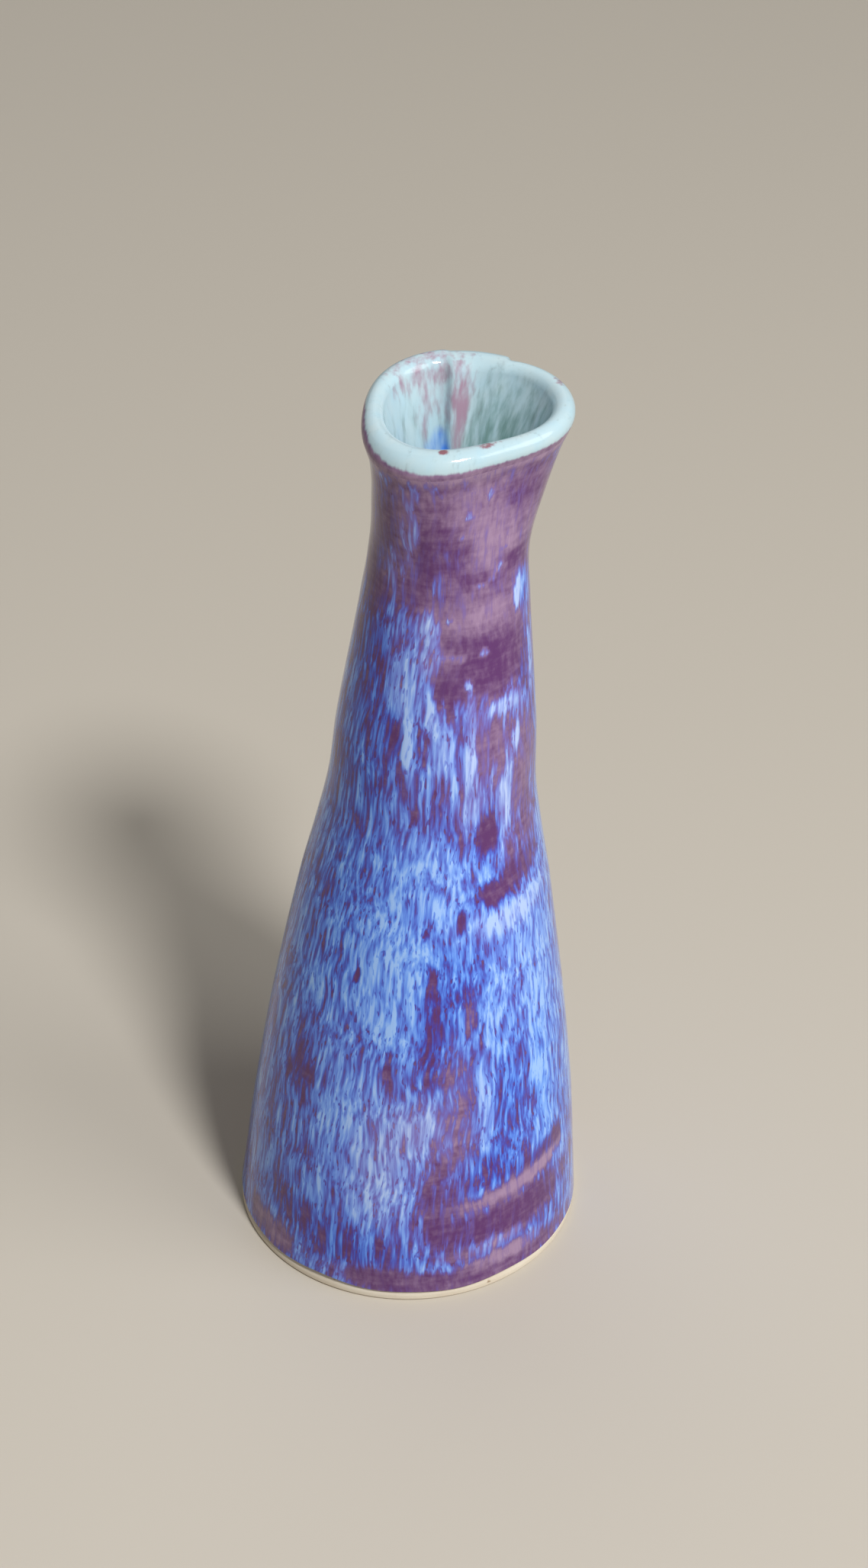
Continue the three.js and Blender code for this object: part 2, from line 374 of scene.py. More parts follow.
def loft(name: str, rings: np.ndarray, loop: bool, attributes: dict[str, np.ndarray]) -> bpy.types.Object:
    """Makes a closed mesh from rings of points, as a grid over (place along the section, angle).

    A looped section joins its last ring to its first. Any other starts and ends on the axis, where its
    first and last ring each become one point under a fan. Faces that would point inwards are turned.

    Args:
        name: the piece's name.
        rings: points in metres, shaped (rings, columns, 3).
        loop: whether the section closes on itself.
        attributes: point attributes shaped (rings, columns) or (rings, columns, 3).

    Returns:
        The new object, at the origin, with its faces outwards and a UV map over (angle, section).
    """
    count, columns = rings.shape[:2]
    body = slice(0, count) if loop else slice(1, count - 1)

    def flat(grid: np.ndarray) -> np.ndarray:
        """One row for each vertex: the rings in turn, then the two poles."""
        rows = grid[body].reshape(-1, *grid.shape[2:])
        return rows if loop else np.concatenate([rows, grid[:1, 0], grid[-1:, 0]])

    vertices = flat(rings)
    inner = rings[body].shape[0]
    i, j = np.meshgrid(np.arange(inner if loop else inner - 1), np.arange(columns), indexing="ij")
    i, j = i.ravel(), j.ravel()
    over, across = (i + 1) % inner, (j + 1) % columns
    here, beyond = i * columns, over * columns
    quads = np.stack([here + j, here + across, beyond + across, beyond + j], axis=-1)
    u, v = np.stack([j, j + 1, j + 1, j], -1) / columns, np.stack([i, i, i + 1, i + 1], -1) / inner
    loops, sizes = [quads.ravel()], [np.full(len(quads), 4)]
    uvs = [np.stack([u.ravel(), v.ravel()], -1)]
    if not loop:
        ring = np.arange(columns)
        beside = (ring + 1) % columns
        first, last = inner * columns, inner * columns + 1
        near = np.stack([np.full(columns, first), beside, ring], -1)
        end = (inner - 1) * columns
        far = np.stack([np.full(columns, last), end + ring, end + beside], -1)
        loops += [near.ravel(), far.ravel()]
        sizes += [np.full(columns, 3)] * 2
        for edge in (0.0, 1.0):
            fan = np.stack([ring + 0.5, ring + 1, ring], -1) / columns
            uvs.append(np.stack([fan.ravel(), np.full(fan.size, edge)], -1))
    corners, sizes = np.concatenate(loops), np.concatenate(sizes)
    a, b, c, d = (vertices[quads[:, k]] for k in range(4))
    if np.einsum("ij,ij->", np.cross(c - a, d - b), (a + b + c + d) / 4) < 0:
        starts = np.cumsum(sizes) - sizes
        turned = np.repeat(2 * starts + sizes - 1, sizes) - np.arange(len(corners))
        corners, uv = corners[turned], np.concatenate(uvs)[turned]
    else:
        uv = np.concatenate(uvs)

    mesh = bpy.data.meshes.new(name)
    mesh.vertices.add(len(vertices))
    mesh.loops.add(len(corners))
    mesh.polygons.add(len(sizes))
    mesh.vertices.foreach_set("co", vertices.astype(np.float32).ravel())
    mesh.loops.foreach_set("vertex_index", corners.astype(np.int32))
    mesh.polygons.foreach_set("loop_start", (np.cumsum(sizes) - sizes).astype(np.int32))
    mesh.update(calc_edges=True)
    mesh.polygons.foreach_set("use_smooth", np.ones(len(sizes), bool))
    mesh.uv_layers.new(name="round_and_along").data.foreach_set("uv", uv.astype(np.float32).ravel())
    for key, grid in attributes.items():
        kind, place = ("FLOAT_VECTOR", "vector") if grid.ndim == 3 else ("FLOAT", "value")
        layer = mesh.attributes.new(key, kind, "POINT")
        layer.data.foreach_set(place, flat(grid).astype(np.float32).ravel())
    mesh.validate()
    piece = bpy.data.objects.new(name, mesh)
    bpy.context.scene.collection.objects.link(piece)
    return piece


def settle(piece: bpy.types.Object, node: str, material: bpy.types.Material) -> None:
    """Dresses a piece, rides it on the vase's one body and lets it stand for its CAD node.

    Args:
        piece: the finished mesh.
        node: the CAD node that it replaces.
        material: its finish.
    """
    piece.data.materials.append(material)
    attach(piece, BODY)
    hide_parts(node)
    low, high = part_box(node)
    faces, tall = len(piece.data.polygons), (high - low).z / MM
    log.info("%s: %d faces for %s, %.1f mm tall", piece.name, faces, node, tall)


def flow_lines(section: Section, columns: int) -> np.ndarray:
    """Coordinates that run down the wall, in mm, for patterns that the molten glaze drew out.

    Each point goes to the same angle on a tube whose radius is a mix of the usual radius and the true one,
    so that a pattern nearly keeps its width and its lines run down the wall.

    Args:
        section: the line across the wall.
        columns: points round the vase.

    Returns:
        Coordinates shaped (section, columns, 3).
    """
    angle = np.radians(np.arange(columns) * 360.0 / columns)[None, :]
    radius = (FLOW_RADIUS + FLOW_FOLLOW * (section.r - FLOW_RADIUS))[:, None]
    z = np.broadcast_to(section.z[:, None], (len(section.z), columns))
    return np.stack([radius * np.cos(angle), radius * np.sin(angle), z], axis=-1)


# --- How the glazes were laid on ----------------------------------------------------------------


@dataclass(frozen=True)
class Stroke:
    """One soft, ragged sweep of glaze: its place, its half-widths in mm, its slant, and what it leaves."""

    angle: float
    height: float
    across: float
    along: float
    slant: float
    leaves: tuple[float, float, float]

    def mask(self, degrees: np.ndarray, z: np.ndarray, r: np.ndarray, soft: float) -> np.ndarray:
        """A slanted ellipse on the unrolled wall, whose edge wavers by two crossed waves a few mm long.

        Args:
            degrees: angles round the vase.
            z: heights in mm.
            r: radii in mm.
            soft: share of the half-width over which the edge fades.

        Returns:
            1 inside the stroke, falling smoothly to 0 outside it.
        """
        x, y = np.radians(turn_to(degrees, self.angle)) * r, z - self.height
        c, s = math.cos(math.radians(self.slant)), math.sin(math.radians(self.slant))
        distance = np.hypot((c * x + s * y) / self.across, (c * y - s * x) / self.along)
        broad_wave = np.sin(1.9 * x + 0.7 * z + self.angle)
        fine_wave = np.sin(0.9 * y - 3.1 * x + self.height)
        waver = RAGGED * (broad_wave + 0.7 * fine_wave)
        return 1.0 - smoothstep(distance + waver, 1.0 - soft, 1.0 + soft)


# Angle, height, half-width round, half-width up and slant; then how much blue lies over the plum, how milky
# the plum is, and how far the blue turns to pale lavender. Later strokes lie on earlier ones.
FRONT_STROKES = [
    # neck: plum, milky to the right, dark and violet left of the middle, grey-blue runs further left
    Stroke(290, 109, 12, 11, 0, (-0.02, 0.45, 1.0)),
    Stroke(300, 107, 4.2, 4, 0, (0.04, 0.9, 1.0)),
    Stroke(270, 117.9, 40, 0.9, 0, (0.0, 1.3, 1.0)),
    Stroke(290, 114, 3.5, 2.6, 0, (0.0, 0.7, 1.0)),
    Stroke(210, 106, 4.5, 12, 0, (0.05, 0.1, 0.3)),
    Stroke(250, 105, 2.3, 5, 0, (-0.04, 0.0, 0.3)),
    Stroke(272, 106, 2.2, 2.4, 0, (0.04, 0.1, 0.6)),
    Stroke(288, 102.2, 3.0, 1.1, 4, (-0.05, 0.1, 0.8)),
    Stroke(326, 103.5, 2.4, 1.7, 0, (-0.05, 0.1, 0.8)),
    Stroke(325, 113, 2.6, 1.8, 0, (0.0, 0.2, 0.8)),
    Stroke(266, 101.5, 1.4, 1.9, 0, (0.3, 0.3, 0.5)),
    Stroke(239, 110, 1.3, 6, 4, (0.2, 0.5, 1.0)),
    Stroke(228, 102.5, 1.9, 3.2, 0, (0.32, 0.4, 0.9)),
    Stroke(282, 111.3, 0.7, 0.45, -8, (0.4, 0.9, 1.0)),
    Stroke(297.5, 113.7, 0.5, 0.8, 0, (0.45, 0.9, 1.0)),
    Stroke(277, 108.6, 0.4, 0.45, 0, (0.5, 0.9, 1.0)),
    # plum round the right of the shoulder, with milky wipes, specks and a curved scratch
    Stroke(300, 93, 7.0, 7.5, 0, (-0.04, 0.35, 0.9)),
    Stroke(296, 98, 4.6, 1.7, 3, (0.0, 0.8, 1.0)),
    Stroke(305, 91, 4.6, 3.2, 0, (-0.1, 0.05, 0.7)),
    Stroke(278, 88.6, 2.2, 1.7, 0, (-0.04, 0.05, 0.6)),
    Stroke(268, 92.4, 1.9, 0.4, 0, (0.4, 0.9, 1.0)),
    Stroke(283, 92.3, 0.5, 0.3, 0, (0.45, 0.9, 1.0)),
    Stroke(298, 92.6, 0.6, 0.45, 0, (0.4, 0.9, 1.0)),
    Stroke(273, 97.3, 0.4, 0.5, 0, (0.6, 0.6, 1.0)),
    Stroke(287, 88.7, 0.5, 0.7, 0, (0.42, 0.6, 0.9)),
    Stroke(298, 101.8, 1.2, 0.22, 12, (0.3, 1.0, 1.0)),
    Stroke(308, 103.3, 0.9, 0.25, 45, (0.3, 1.0, 1.0)),
    Stroke(315, 106, 0.9, 0.25, 12, (0.3, 1.0, 1.0)),
    # right edge: blue with a bright run
    Stroke(338, 98.5, 1.6, 2.8, 0, (0.55, 0.2, 0.2)),
    Stroke(327, 98.6, 0.55, 2.0, 0, (0.9, 0.8, 0.8)),
    Stroke(335, 88, 1.6, 3.6, 0, (0.2, 0.1, 0.1)),
    Stroke(343, 88, 0.8, 3.2, 0, (0.6, 0.5, 0.6)),
    # left of the shoulder: violet and navy, streaks, and a pale patch
    Stroke(218, 90, 4.6, 7.5, 0, (0.24, 0.0, 0.0)),
    Stroke(246, 91, 2.2, 5.8, 10, (0.5, 0.2, 0.5)),
    Stroke(250, 87, 2.4, 3, 10, (0.58, 0.3, 0.5)),
    Stroke(262, 92, 1.4, 1.6, 0, (0.45, 0.6, 0.9)),
    Stroke(260, 96, 1.0, 2.5, 12, (0.7, 0.8, 0.9)),
    # below the shoulder: blue on the left, pale columns over violet and plum on the right
    Stroke(208, 74, 3.4, 12, 0, (0.3, 0.0, 0.0)),
    Stroke(228, 74, 4.0, 8.5, 8, (0.44, 0.0, 0.0)),
    Stroke(262, 75, 3.4, 8, 0, (0.36, 0.15, 0.3)),
    Stroke(303, 78, 4.6, 6.5, 0, (0.25, 0.4, 0.8)),
    Stroke(330, 74, 3.2, 9, 0, (0.12, 0.5, 0.9)),
    Stroke(243, 82, 1.0, 2.6, 10, (0.2, 0.05, 0.0)),
    Stroke(252.5, 81, 0.7, 4.8, 6, (0.82, 0.4, 0.5)),
    Stroke(266, 84.6, 0.8, 2.0, 0, (0.75, 0.4, 0.7)),
    Stroke(274, 80.5, 1.4, 3.8, 6, (0.85, 0.4, 0.6)),
    Stroke(289.5, 79, 0.8, 7, 0, (0.72, 0.5, 0.9)),
    Stroke(291, 72, 1.3, 3.6, 0, (0.6, 0.4, 0.8)),
    Stroke(313, 71, 1.0, 6.5, 0, (0.56, 0.6, 0.9)),
    Stroke(312, 84.6, 2.6, 1.2, 4, (0.8, 0.6, 0.9)),
    Stroke(322, 79.5, 0.7, 1.8, 0, (0.75, 0.7, 0.9)),
    Stroke(303, 80, 1.9, 3.2, 0, (0.1, 0.45, 0.9)),
    Stroke(283, 80, 0.8, 4, 0, (0.2, 0.2, 0.4)),
    # the heavy blue curtain
    Stroke(268, 62, 6.0, 6, 0, (0.68, 0.2, 0.25)),
    Stroke(243, 63, 3.4, 4.5, 8, (0.66, 0.15, 0.1)),
    Stroke(220, 60, 3.6, 6, 0, (0.58, 0.1, 0.0)),
    Stroke(228, 50, 8.0, 10, 0, (0.58, 0.1, 0.0)),
    Stroke(258, 50, 4.4, 11, 0, (0.8, 0.2, 0.1)),
    Stroke(212, 50, 3.4, 11, 0, (0.48, 0.05, 0.0)),
    Stroke(322, 44, 7.4, 12, 0, (0.76, 0.2, 0.25)),
    Stroke(306, 43, 2.4, 8, 0, (0.64, 0.2, 0.25)),
    Stroke(315, 55.4, 6.6, 1.8, 2, (0.86, 0.6, 0.7)),
    Stroke(309, 29, 3.0, 9, 0, (0.42, 0.1, 0.0)),
    Stroke(297, 28.5, 1.0, 7, 0, (0.78, 0.3, 0.4)),
    Stroke(327, 29, 2.4, 11, 0, (0.82, 0.1, 0.0)),
    Stroke(341, 32, 2.6, 13, 0, (0.6, 0.1, 0.1)),
    # violet and plum in the middle of it
    Stroke(284, 47, 3.4, 6.5, 0, (0.44, 0.05, 0.0)),
    Stroke(275, 42, 1.5, 7.5, 0, (0.24, 0.0, 0.0)),
    Stroke(291, 43, 1.0, 2.4, 0, (0.14, 0.4, 0.2)),
    Stroke(286, 33, 2.2, 5.5, 0, (0.27, 0.5, 0.4)),
    # dark plum breaks
    Stroke(301, 67.4, 1.5, 2.7, 0, (-0.1, 0.0, 0.0)),
    Stroke(330, 65, 3.4, 4.2, 0, (0.18, 0.3, 0.7)),
    Stroke(324, 60.6, 4.8, 1.9, 5, (0.06, 0.1, 0.3)),
    Stroke(304, 59.3, 2.5, 1.7, 0, (-0.08, 0.0, 0.0)),
    Stroke(286, 56.6, 0.35, 1.7, 0, (-0.1, 0.0, 0.0)),
    Stroke(241, 48.2, 0.35, 1.0, -10, (-0.1, 0.0, 0.0)),
    Stroke(270, 55.6, 0.3, 0.7, 0, (-0.1, 0.0, 0.0)),
    Stroke(258, 35.6, 0.35, 1.2, 0, (-0.1, 0.0, 0.0)),
    Stroke(221, 31, 2.8, 5.0, 0, (0.14, 0.0, 0.0)),
    # the lower wall: streaks on the left, milky lavender, then milky plum
    Stroke(218, 18, 5.6, 8, 0, (0.4, 0.1, 0.1)),
    Stroke(240, 26, 3.8, 12, 0, (0.64, 0.2, 0.2)),
    Stroke(283, 24, 3.2, 7, 0, (0.18, 0.6, 0.8)),
    Stroke(281, 14, 3.4, 6, 0, (0.1, 0.1, 0.5)),
    Stroke(259, 21, 3.7, 9, 0, (0.72, 0.6, 0.75)),
    Stroke(270, 27, 2.8, 3.6, -20, (0.55, 0.7, 0.95)),
    # ragged violet ends of the curtain, brushed plum bands, and the thin glaze at the foot
    Stroke(222, 10, 5.0, 2.8, 0, (0.2, 0.0, 0.0)),
    Stroke(247, 7.6, 6.4, 3.4, 0, (0.36, 0.0, 0.0)),
    Stroke(302, 18.6, 4.4, 3.4, 0, (0.3, 0.05, 0.0)),
    Stroke(325, 16.6, 5.0, 2.0, 6, (0.08, 0.05, 0.1)),
    Stroke(310, 10.5, 11.0, 2.8, 2, (-0.02, 0.1, 0.6)),
    Stroke(309, 14.6, 8.0, 1.3, 4, (-0.04, 0.95, 0.6)),
    Stroke(322, 15.2, 3.6, 0.6, 6, (-0.02, 1.3, 0.8)),
    Stroke(303, 7.2, 3.6, 0.8, 2, (0.4, 0.8, 1.0)),
    Stroke(289, 6.4, 3.0, 0.8, 0, (0.28, 0.5, 0.9)),
    Stroke(296, 2.4, 16.0, 2.0, 0, (-0.05, 0.3, 0.8)),
    Stroke(306, 4.6, 4.6, 1.1, 2, (0.0, 1.15, 1.0)),
    Stroke(262, 3.0, 6.0, 1.8, 0, (-0.06, 0.25, 0.7)),
    Stroke(216, 3.6, 5.0, 2.4, -6, (0.0, 0.6, 0.4)),
]
BACK_STROKES = [
    Stroke(90, 108, 30, 12, 0, (0.05, 0.4, 0.9)),
    Stroke(60, 104, 2.5, 9, 0, (0.5, 0.3, 0.7)),
    Stroke(140, 106, 3, 8, 0, (0.25, 0.1, 0.3)),
    Stroke(110, 88, 8, 9, -6, (0.0, 0.35, 0.8)),
    Stroke(40, 86, 6, 9, 0, (0.58, 0.2, 0.3)),
    Stroke(165, 84, 5, 10, 0, (0.45, 0.1, 0.1)),
    Stroke(20, 60, 8, 16, 0, (0.62, 0.2, 0.2)),
    Stroke(75, 62, 9, 14, 0, (0.72, 0.2, 0.2)),
    Stroke(125, 58, 8, 14, 0, (0.6, 0.2, 0.1)),
    Stroke(170, 52, 9, 18, 0, (0.56, 0.2, 0.1)),
    Stroke(98, 66, 4, 2.2, -14, (-0.2, 0.1, 0.1)),
    Stroke(50, 45, 5, 9, 0, (0.25, 0.3, 0.2)),
    Stroke(10, 28, 9, 12, 0, (0.7, 0.2, 0.1)),
    Stroke(85, 30, 11, 13, 0, (0.75, 0.2, 0.2)),
    Stroke(135, 26, 8, 10, 0, (0.2, 0.5, 0.5)),
    Stroke(175, 22, 9, 12, 0, (0.5, 0.2, 0.2)),
    Stroke(40, 9, 14, 6, -5, (-0.05, 0.3, 0.5)),
    Stroke(100, 8, 12, 6, 4, (0.3, 0.2, 0.2)),
    Stroke(150, 7, 13, 6, -4, (-0.05, 0.25, 0.5)),
    Stroke(35, 11, 9, 1.0, -6, (-0.02, 1.0, 0.8)),
    Stroke(155, 5, 10, 0.9, -3, (0.2, 1.0, 0.9)),
]
WHOLE_WALL = Stroke(270, 60, 400, 400, 0, (0.46, 0.2, 0.2))


def layers_of(strokes: list[Stroke], section: Section, columns: int, soft: float) -> np.ndarray:
    """Paints strokes one over another; the second and third amounts bleed further at the edges.

    Args:
        strokes: the sweeps, first to last.
        section: the line across the wall.
        columns: points round the vase.
        soft: share of a stroke's half-width over which it fades.

    Returns:
        The three amounts, shaped (section, columns, 3).
    """
    degrees = np.arange(columns)[None, :] * 360.0 / columns
    z, r = section.z[:, None], section.r[:, None]
    layers = np.zeros((len(section.z), columns, 3))
    for stroke in strokes:
        edge = stroke.mask(degrees, z, r, soft)
        bleed = stroke.mask(degrees, z, r, min(BLEED * soft, WIDEST_FADE))
        layers += np.stack([edge, bleed, bleed], axis=-1) * (np.array(stroke.leaves) - layers)
    return layers


# --- Finishes -----------------------------------------------------------------------------------


def ease(
    tree: bpy.types.NodeTree, value: bpy.types.NodeSocket, low: float, high: float
) -> bpy.types.NodeSocket:
    """A smooth rise from 0 where the value is low to 1 where it is high."""
    ends = {"Value": value, "From Min": low, "From Max": high}
    return wire(tree, "ShaderNodeMapRange", 0, ends, interpolation_type="SMOOTHSTEP")


@dataclass(frozen=True)
class FlowNoise:
    """Cloudy noise that is drawn out along the glaze's run: a cell's width in mm, its length in widths."""

    width: float
    length: float
    detail: float

    def socket(self, tree: bpy.types.NodeTree, path: bpy.types.NodeSocket) -> bpy.types.NodeSocket:
        """Reads the noise at a place in mm; it lies about 0.5.

        Args:
            tree: the material's nodes.
            path: the place along and across the run.

        Returns:
            The noise's value.
        """
        drawn = wire(tree, "ShaderNodeMapping", 0, {"Vector": path, "Scale": (1.0, 1.0, 1.0 / self.length)})
        cells = {"Vector": drawn, "Scale": 1.0 / self.width, "Detail": self.detail}
        return wire(tree, "ShaderNodeTexNoise", "Fac", cells)


@dataclass(frozen=True)
class PlumGround:
    """The plum glaze itself, which breaks from dark aubergine to a milky mauve in brushed bands."""

    dark: str = "#5a2a68"
    misty: str = "#a386a6"
    mottle: FlowNoise = FlowNoise(0.7, 2.0, 4.0)
    brush: FlowNoise = FlowNoise(4.0, 0.22, 3.0)
    mottle_weight: float = 0.9
    brush_weight: float = 0.7
    breaks: tuple[float, float] = (0.72, 1.85)  # haze and noise together, at clear dark and at milky

    def socket(
        self, tree: bpy.types.NodeTree, path: bpy.types.NodeSocket, haze: bpy.types.NodeSocket | float
    ) -> bpy.types.NodeSocket:
        """Builds the plum colour.

        Args:
            tree: the material's nodes.
            path: the place along and across the run.
            haze: 0 for clear dark plum to 1 for milky mauve.

        Returns:
            The colour.
        """
        cloud = {0: self.mottle.socket(tree, path), 1: self.mottle_weight, 2: haze}
        cloud = wire(tree, "ShaderNodeMath", 0, cloud, operation="MULTIPLY_ADD")
        cloud = {0: self.brush.socket(tree, path), 1: self.brush_weight, 2: cloud}
        cloud = wire(tree, "ShaderNodeMath", 0, cloud, operation="MULTIPLY_ADD")
        ends = {0: ease(tree, cloud, *self.breaks), 6: linear(self.dark), 7: linear(self.misty)}
        return wire(tree, "ShaderNodeMix", 2, ends, data_type="RGBA")


@dataclass(frozen=True)
class StreakedGlaze:
    """Glossy runny stoneware glaze: a plum ground under a blue coat that ran into fine vertical threads.

    The eye reads it by its wet gloss, by blue threads about half a millimetre wide and a few mm long, and
    by the violet that shows wherever the blue coat thins out over the plum.
    """

    threads: FlowNoise = FlowNoise(0.5, 12.0, 2.5)
    clumps: FlowNoise = FlowNoise(2.0, 4.0, 2.0)
    dashes: FlowNoise = FlowNoise(0.33, 5.0, 1.0)
    thread_weight: float = 2.0
    clump_weight: float = 1.0
    dash_weight: float = -0.35
    dash_edge: tuple[float, float] = (0.6, 0.7)
    grain_rest: float = -1.47  # brings the grain's mean to about 0
    grain_grows: tuple[float, float] = (-0.3, 0.35)  # coat at which the grain is absent, and is full
    blue_covers: tuple[float, float] = (-0.1, 0.4)  # blue at which bare plum shows, and none does
    sway_per_mm: float = 0.12
    sway_mm: float = 1.6
    roughness: float = 0.1
    ior: float = 1.5
    relief_mm: float = 0.04
    ground: PlumGround = PlumGround()
    # Thin to heavy blue coat over the plum, clear and milky.
    blues: tuple[tuple[float, str], ...] = (
        (0.0, "#4a2a80"), (0.25, "#3d38aa"), (0.42, "#3f5ecc"),
        (0.6, "#5084ec"), (0.8, "#70a6fc"), (1.0, "#98c4ff"),
    )
    lavenders: tuple[tuple[float, str], ...] = (
        (0.0, "#7a5790"), (0.3, "#7b66b0"), (0.5, "#8486cf"),
        (0.75, "#9badea"), (1.0, "#bccdf6"),
    )

    def material(self) -> bpy.types.Material:
        """Builds the finish from the piece's flow and layers attributes.

        Returns:
            The material.
        """
        made, tree, shader = blank_material("streaked_plum_blue_glaze", Slot.OUTSIDE)
        flow = wire(tree, "ShaderNodeAttribute", "Vector", {}, attribute_name="flow")
        layers = wire(tree, "ShaderNodeAttribute", "Vector", {}, attribute_name="layers")
        coat, haze, milk = wire(tree, "ShaderNodeSeparateXYZ", "X", {"Vector": layers}).node.outputs

        # The threads wander a little as they run.
        sway = {"Vector": flow, "Scale": self.sway_per_mm, "Detail": 1.0}
        sway = wire(tree, "ShaderNodeTexNoise", "Color", sway)
        sway = wire(tree, "ShaderNodeVectorMath", 0, {0: sway, 1: (0.5, 0.5, 0.5)}, operation="SUBTRACT")
        reach = (self.sway_mm, self.sway_mm, 0.0)
        sway = wire(tree, "ShaderNodeVectorMath", 0, {0: sway, 1: reach}, operation="MULTIPLY")
        path = wire(tree, "ShaderNodeVectorMath", 0, {0: flow, 1: sway}, operation="ADD")

        def weigh(
            value: bpy.types.NodeSocket, by: float | bpy.types.NodeSocket, add: bpy.types.NodeSocket | float
        ) -> bpy.types.NodeSocket:
            """value * by + add."""
            return wire(tree, "ShaderNodeMath", 0, {0: value, 1: by, 2: add}, operation="MULTIPLY_ADD")

        # Blue at a point: the coat, thicker in threads and clumps and broken by short dark dashes.
        grain = weigh(self.threads.socket(tree, path), self.thread_weight, self.grain_rest)
        grain = weigh(self.clumps.socket(tree, path), self.clump_weight, grain)
        dark = ease(tree, self.dashes.socket(tree, path), *self.dash_edge)
        grain = weigh(dark, self.dash_weight, grain)
        blue = weigh(grain, ease(tree, coat, *self.grain_grows), coat)

        ground = self.ground.socket(tree, path, haze)
        deep = wire(tree, "ShaderNodeValToRGB", "Color", {"Fac": blue}, stops=self.blues)
        pale = wire(tree, "ShaderNodeValToRGB", "Color", {"Fac": blue}, stops=self.lavenders)
        coated = wire(tree, "ShaderNodeMix", 2, {0: milk, 6: deep, 7: pale}, data_type="RGBA")
        share = ease(tree, blue, *self.blue_covers)
        colour = wire(tree, "ShaderNodeMix", 2, {0: share, 6: ground, 7: coated}, data_type="RGBA")
        tree.links.new(colour, shader.inputs["Base Color"])

        bump = {"Height": blue, "Strength": 0.3, "Distance": self.relief_mm * MM}
        tree.links.new(wire(tree, "ShaderNodeBump", 0, bump), shader.inputs["Normal"])
        shader.inputs["Roughness"].default_value = self.roughness
        shader.inputs["IOR"].default_value = self.ior
        return made


@dataclass(frozen=True)
class PaleLiner:
    """Glossy pale blue-green liner glaze: milky where thick, mauve where it breaks thin over an edge."""

    roughness: float = 0.08
    ior: float = 1.5
    milky: str = "#c2d3d5"
    cool: str = "#aed0de"
    # shaded: the grey down the throat, partly thin glaze and partly painted shade
    shaded: str = "#6f908c"
    mauve: str = "#a88a9c"
    pool: str = "#4a8cf0"
    rust: str = "#8a5560"
    ground: PlumGround = PlumGround()
    runs: FlowNoise = FlowNoise(0.7, 6.0, 3.0)
    cloud: FlowNoise = FlowNoise(2.2, 1.5, 3.0)
    lap_haze: float = 0.6
    relief_mm: float = 0.05

    def material(self) -> bpy.types.Material:
        """Builds the finish from the flow, layers (pool, mauve, rust), plum and shade attributes.

        Returns:
            The material.
        """
        made, tree, shader = blank_material("pale_liner_glaze", Slot.LINER)
        flow = wire(tree, "ShaderNodeAttribute", "Vector", {}, attribute_name="flow")
        layers = wire(tree, "ShaderNodeAttribute", "Vector", {}, attribute_name="layers")
        plum = wire(tree, "ShaderNodeAttribute", "Fac", {}, attribute_name="plum")
        shade = wire(tree, "ShaderNodeAttribute", "Fac", {}, attribute_name="shade")
        pool, mauve, rust = wire(tree, "ShaderNodeSeparateXYZ", "X", {"Vector": layers}).node.outputs
        runs = self.runs.socket(tree, flow)
        shades = {0: self.cloud.socket(tree, flow), 6: linear(self.milky), 7: linear(self.cool)}
        colour = wire(tree, "ShaderNodeMix", 2, shades, data_type="RGBA")
        # Each tint shows where its amount, and the runs by the weight beside it, add up to low or more.
        for amount, ragged, low, high, tint in (
            # painted shade down the throat, partly thin glaze
            (shade, 1.3, 0.7, 1.6, linear(self.shaded)),
            (mauve, 1.2, 0.75, 1.45, linear(self.mauve)),
            (pool, 0.4, 0.4, 1.2, linear(self.pool)),
            (rust, 1.0, 0.75, 1.35, linear(self.rust)),
            (plum, 1.0, 0.75, 1.4, self.ground.socket(tree, flow, self.lap_haze)),
        ):
            edge = {0: runs, 1: ragged, 2: amount}
            edge = wire(tree, "ShaderNodeMath", 0, edge, operation="MULTIPLY_ADD")
            share = {0: ease(tree, edge, low, high), 6: colour, 7: tint}
            colour = wire(tree, "ShaderNodeMix", 2, share, data_type="RGBA")
        tree.links.new(colour, shader.inputs["Base Color"])
        bump = {"Height": runs, "Strength": 0.3, "Distance": self.relief_mm * MM}
        tree.links.new(wire(tree, "ShaderNodeBump", 0, bump), shader.inputs["Normal"])
        shader.inputs["Roughness"].default_value = self.roughness
        shader.inputs["IOR"].default_value = self.ior
        return made


